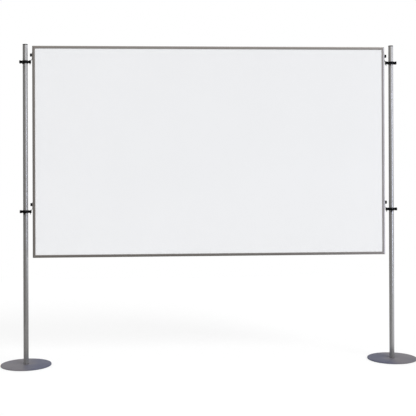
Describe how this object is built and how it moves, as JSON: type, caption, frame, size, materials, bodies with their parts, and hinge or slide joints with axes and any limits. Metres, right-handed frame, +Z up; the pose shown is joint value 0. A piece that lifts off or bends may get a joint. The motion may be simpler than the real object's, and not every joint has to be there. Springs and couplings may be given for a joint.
{
  "type": "info board",
  "caption": "White rectangular board in a slim mitred aluminium frame, hung by bent hooks in clamps on round posts that stand on flat discs.",
  "frame": {"origin": "on the floor, midway between the two posts, in the plane of their axes", "axes": "+X to the right of someone facing the board's front, +Y from the front through the board to its back, +Z up"},
  "size_m": [2.36, 0.28, 1.8],
  "materials": {
    "frame": "satin",
    "tube": "satin",
    "disc": "matte",
    "sheet": "satin",
    "core": "matte",
    "casting": "matte",
    "steel_plug": "satin",
    "zinc": "satin",
    "brass": "satin",
    "black_plastic": "satin",
    "grey_plastic": "matte",
    "rubber": "matte"
  },
  "bodies": {
    "board": {"front_sheet": "sheet", "back_sheet": "sheet", "board_core": "core", "left_stile": "frame", "right_stile": "frame", "top_rail": "frame", "bottom_rail": "frame", "top_left_key": "casting", "top_right_key": "casting", "bottom_left_key": "casting", "bottom_right_key": "casting", "left_upper_frame_insert": "zinc", "left_upper_hook": "zinc", "left_lower_frame_insert": "zinc", "left_lower_hook": "zinc", "right_upper_frame_insert": "zinc", "right_upper_hook": "zinc", "right_lower_frame_insert": "zinc", "right_lower_hook": "zinc"},
    "left_clamps": {"left_upper_clamp": "black_plastic", "left_upper_clamp_insert": "brass", "left_lower_clamp": "black_plastic", "left_lower_clamp_insert": "brass"},
    "left_sleeves": {"left_upper_grip_sleeve": "grey_plastic", "left_lower_grip_sleeve": "grey_plastic"},
    "left_upper_lever": {"left_upper_clamp_lever": "black_plastic"},
    "left_upper_screw": {"left_upper_hook_screw": "black_plastic"},
    "left_lower_lever": {"left_lower_clamp_lever": "black_plastic"},
    "left_lower_screw": {"left_lower_hook_screw": "black_plastic"},
    "left_stand": {"left_post": "tube", "left_end_cap": "grey_plastic", "left_post_plug": "steel_plug", "left_base_disc": "disc", "left_base_bolt": "zinc", "left_floor_ring": "rubber"},
    "right_clamps": {"right_upper_clamp": "black_plastic", "right_upper_clamp_insert": "brass", "right_lower_clamp": "black_plastic", "right_lower_clamp_insert": "brass"},
    "right_sleeves": {"right_upper_grip_sleeve": "grey_plastic", "right_lower_grip_sleeve": "grey_plastic"},
    "right_upper_lever": {"right_upper_clamp_lever": "black_plastic"},
    "right_upper_screw": {"right_upper_hook_screw": "black_plastic"},
    "right_lower_lever": {"right_lower_clamp_lever": "black_plastic"},
    "right_lower_screw": {"right_lower_hook_screw": "black_plastic"},
    "right_stand": {"right_post": "tube", "right_end_cap": "grey_plastic", "right_post_plug": "steel_plug", "right_base_disc": "disc", "right_base_bolt": "zinc", "right_floor_ring": "rubber"}
  },
  "joints": [
    {"name": "left_lift", "type": "slide", "parent": "board", "child": "left_clamps", "axis": [0, 0, -1], "range_m": [0, 0.035]},
    {"name": "left_swivel", "type": "hinge", "parent": "left_clamps", "child": "left_sleeves", "pos_m": [-1.04, 0, 0], "axis": [0, 0, 1], "continuous": true},
    {"name": "left_height", "type": "slide", "parent": "left_sleeves", "child": "left_stand", "axis": [0, 0, -1], "range_m": [-0.585, 0.08]},
    {"name": "left_upper_lever_turn", "type": "hinge", "parent": "left_clamps", "child": "left_upper_lever", "pos_m": [-1.04, -0.0235, 1.7], "axis": [0, -1, 0], "range_deg": [0, 540]},
    {"name": "left_upper_screw_turn", "type": "hinge", "parent": "board", "child": "left_upper_screw", "pos_m": [-1.0023, 0, 1.739], "axis": [-1, 0, 0], "range_deg": [0, 540]},
    {"name": "left_lower_lever_turn", "type": "hinge", "parent": "left_clamps", "child": "left_lower_lever", "pos_m": [-1.04, -0.0235, 0.861], "axis": [0, -1, 0], "range_deg": [0, 540]},
    {"name": "left_lower_screw_turn", "type": "hinge", "parent": "board", "child": "left_lower_screw", "pos_m": [-1.0023, 0, 0.9], "axis": [-1, 0, 0], "range_deg": [0, 540]},
    {"name": "right_lift", "type": "slide", "parent": "board", "child": "right_clamps", "axis": [0, 0, -1], "range_m": [0, 0.035]},
    {"name": "right_swivel", "type": "hinge", "parent": "right_clamps", "child": "right_sleeves", "pos_m": [1.04, 0, 0], "axis": [0, 0, 1], "continuous": true},
    {"name": "right_height", "type": "slide", "parent": "right_sleeves", "child": "right_stand", "axis": [0, 0, -1], "range_m": [-0.585, 0.08]},
    {"name": "right_upper_lever_turn", "type": "hinge", "parent": "right_clamps", "child": "right_upper_lever", "pos_m": [1.04, -0.0235, 1.7], "axis": [0, -1, 0], "range_deg": [0, 540]},
    {"name": "right_upper_screw_turn", "type": "hinge", "parent": "board", "child": "right_upper_screw", "pos_m": [1.0023, 0, 1.739], "axis": [1, 0, 0], "range_deg": [0, 540]},
    {"name": "right_lower_lever_turn", "type": "hinge", "parent": "right_clamps", "child": "right_lower_lever", "pos_m": [1.04, -0.0235, 0.861], "axis": [0, -1, 0], "range_deg": [0, 540]},
    {"name": "right_lower_screw_turn", "type": "hinge", "parent": "board", "child": "right_lower_screw", "pos_m": [1.0023, 0, 0.9], "axis": [1, 0, 0], "range_deg": [0, 540]}
  ],
  "couplings": [
    {"joint": "right_lift", "follows": "left_lift", "ratio": 1},
    {"joint": "right_height", "follows": "left_height", "ratio": 1}
  ]
}
